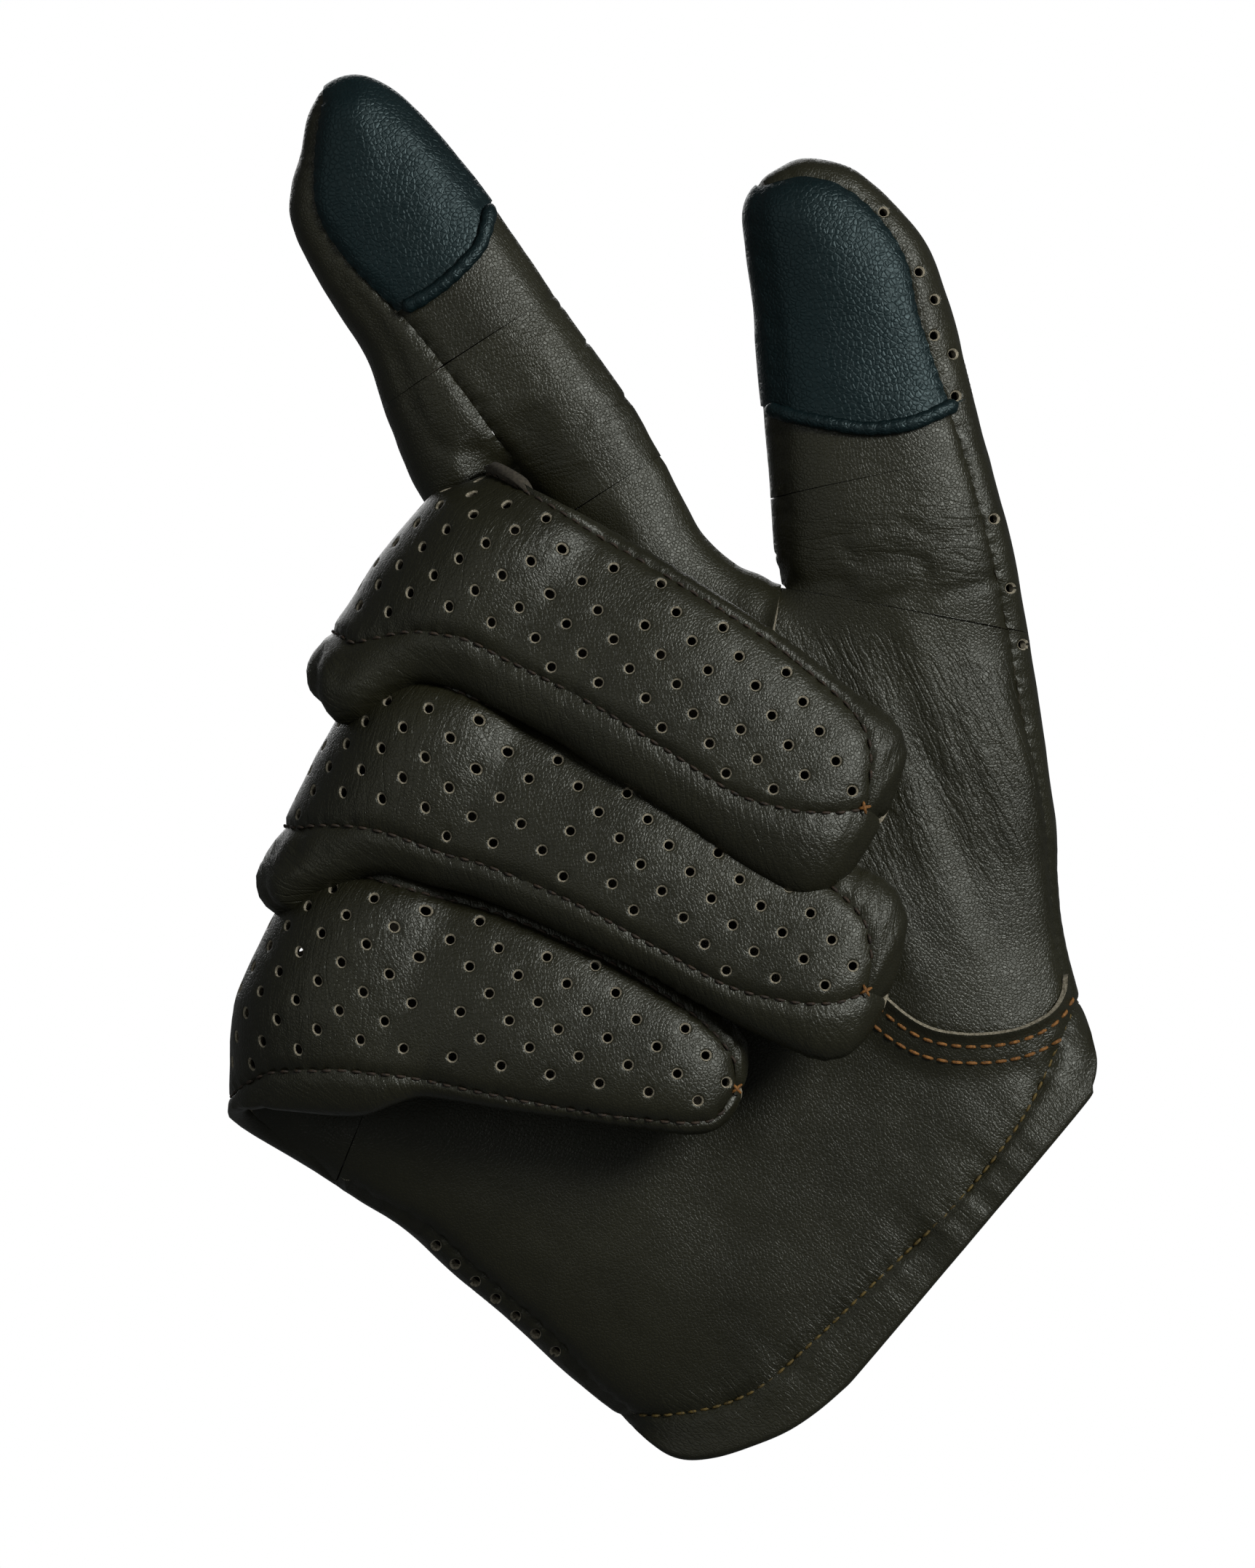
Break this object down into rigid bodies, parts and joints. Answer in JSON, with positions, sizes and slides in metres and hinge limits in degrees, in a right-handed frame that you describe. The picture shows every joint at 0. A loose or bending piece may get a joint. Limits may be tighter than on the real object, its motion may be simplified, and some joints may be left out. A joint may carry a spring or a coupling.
{
  "type": "leather driving glove",
  "caption": "Right-hand leather driving glove with a perforated back, finger side walls, touch patches on thumb and forefinger and a snapped wrist strap.",
  "frame": {"origin": "middle of the palm-side rim of the wrist opening, on the rim's flat lowest face (the mount hem_rim)", "axes": "+Z from the wrist to the fingertips, +X to the thumb side, -Y out of the palm"},
  "size_m": [0.1893, 0.0517, 0.2044],
  "materials": {
    "smooth_leather": "satin, fine grain",
    "perforated_leather": "satin, fine grain, punched holes",
    "touch_leather": "satin, pebbled grain",
    "sewing_thread": "twisted thread",
    "snap_brass": "aged brass"
  },
  "bodies": {
    "hand": {"palm_panel": "smooth_leather", "thumb_keystone": "smooth_leather", "back_panel": "perforated_leather", "vent_binding": "smooth_leather", "palm_hem_fold": "smooth_leather", "back_hem_fold_ulnar": "smooth_leather", "back_hem_fold_radial": "smooth_leather", "strap_anchor": "smooth_leather", "snap_stud": "snap_brass", "snap_post": "snap_brass", "hem_thread": "sewing_thread", "keystone_thread_inner": "sewing_thread", "keystone_thread_outer": "sewing_thread"},
    "strap": {"wrist_strap": "smooth_leather", "snap_cap": "snap_brass", "snap_socket": "snap_brass"},
    "index_base": {"index_back_base": "perforated_leather", "index_wall_ulnar_base": "smooth_leather", "index_front_base": "smooth_leather"},
    "index_end": {"index_back_tip": "perforated_leather", "index_wall_ulnar_tip": "smooth_leather", "index_touch_patch": "touch_leather"},
    "middle_base": {"middle_back_base": "perforated_leather", "middle_wall_ulnar_base": "smooth_leather", "middle_front_base": "smooth_leather", "middle_wall_radial_base": "smooth_leather"},
    "middle_end": {"middle_back_tip": "perforated_leather", "middle_wall_ulnar_tip": "smooth_leather", "middle_front_tip": "smooth_leather", "middle_wall_radial_tip": "smooth_leather"},
    "ring_base": {"ring_back_base": "perforated_leather", "ring_wall_ulnar_base": "smooth_leather", "ring_front_base": "smooth_leather", "ring_wall_radial_base": "smooth_leather"},
    "ring_end": {"ring_back_tip": "perforated_leather", "ring_wall_ulnar_tip": "smooth_leather", "ring_front_tip": "smooth_leather", "ring_wall_radial_tip": "smooth_leather"},
    "little_base": {"little_back_base": "perforated_leather", "little_front_base": "smooth_leather", "little_wall_radial_base": "smooth_leather"},
    "little_end": {"little_back_tip": "perforated_leather", "little_front_tip": "smooth_leather", "little_wall_radial_tip": "smooth_leather"},
    "thumb_base": {"thumb_back_base": "perforated_leather", "thumb_front_base": "smooth_leather"},
    "thumb_end": {"thumb_back_tip": "perforated_leather", "thumb_touch_patch": "touch_leather"}
  },
  "joints": [
    {"name": "index_knuckle", "type": "hinge", "parent": "hand", "child": "index_base", "pos_m": [0.066, -0.00003, 0.14], "axis": [0.9563, 0, -0.2924], "range_deg": [0, 85]},
    {"name": "index_middle_joint", "type": "hinge", "parent": "index_base", "child": "index_end", "pos_m": [0.07477, -0.00003, 0.16869], "axis": [0.9563, 0, -0.2924], "range_deg": [0, 95]},
    {"name": "middle_knuckle", "type": "hinge", "parent": "hand", "child": "middle_base", "pos_m": [0.039, -0.00003, 0.1345], "axis": [0.9981, 0, 0.061], "range_deg": [-172, 0]},
    {"name": "middle_middle_joint", "type": "hinge", "parent": "middle_base", "child": "middle_end", "pos_m": [0.04592, -0.00556, 0.09549], "axis": [0.9849, 0.0158, 0.1725], "range_deg": [-6, 6]},
    {"name": "ring_knuckle", "type": "hinge", "parent": "hand", "child": "ring_base", "pos_m": [0.005, -0.00003, 0.121], "axis": [0.9816, 0, 0.1908], "range_deg": [-172, 0]},
    {"name": "ring_middle_joint", "type": "hinge", "parent": "ring_base", "child": "ring_end", "pos_m": [0.01795, -0.00554, 0.08356], "axis": [0.9458, 0.0194, 0.3242], "range_deg": [-6, 6]},
    {"name": "little_knuckle", "type": "hinge", "parent": "hand", "child": "little_base", "pos_m": [-0.027, -0.00003, 0.1085], "axis": [0.9511, 0, 0.309], "range_deg": [-172, 0]},
    {"name": "little_middle_joint", "type": "hinge", "parent": "little_base", "child": "little_end", "pos_m": [-0.01273, -0.00473, 0.078], "axis": [0.9067, 0.017, 0.4215], "range_deg": [-6, 6]},
    {"name": "thumb_root", "type": "hinge", "parent": "hand", "child": "thumb_base", "pos_m": [0.085, -0.00143, 0.08], "axis": [0.788, 0, -0.6157], "range_deg": [0, 60]},
    {"name": "thumb_tip_joint", "type": "hinge", "parent": "thumb_base", "child": "thumb_end", "pos_m": [0.10285, -0.00143, 0.10285], "axis": [0.788, 0, -0.6157], "range_deg": [0, 80]},
    {"name": "strap_flap", "type": "hinge", "parent": "hand", "child": "strap", "pos_m": [0.024, 0.0295, 0.017], "axis": [0, 0, -1], "range_deg": [0, 160]}
  ]
}
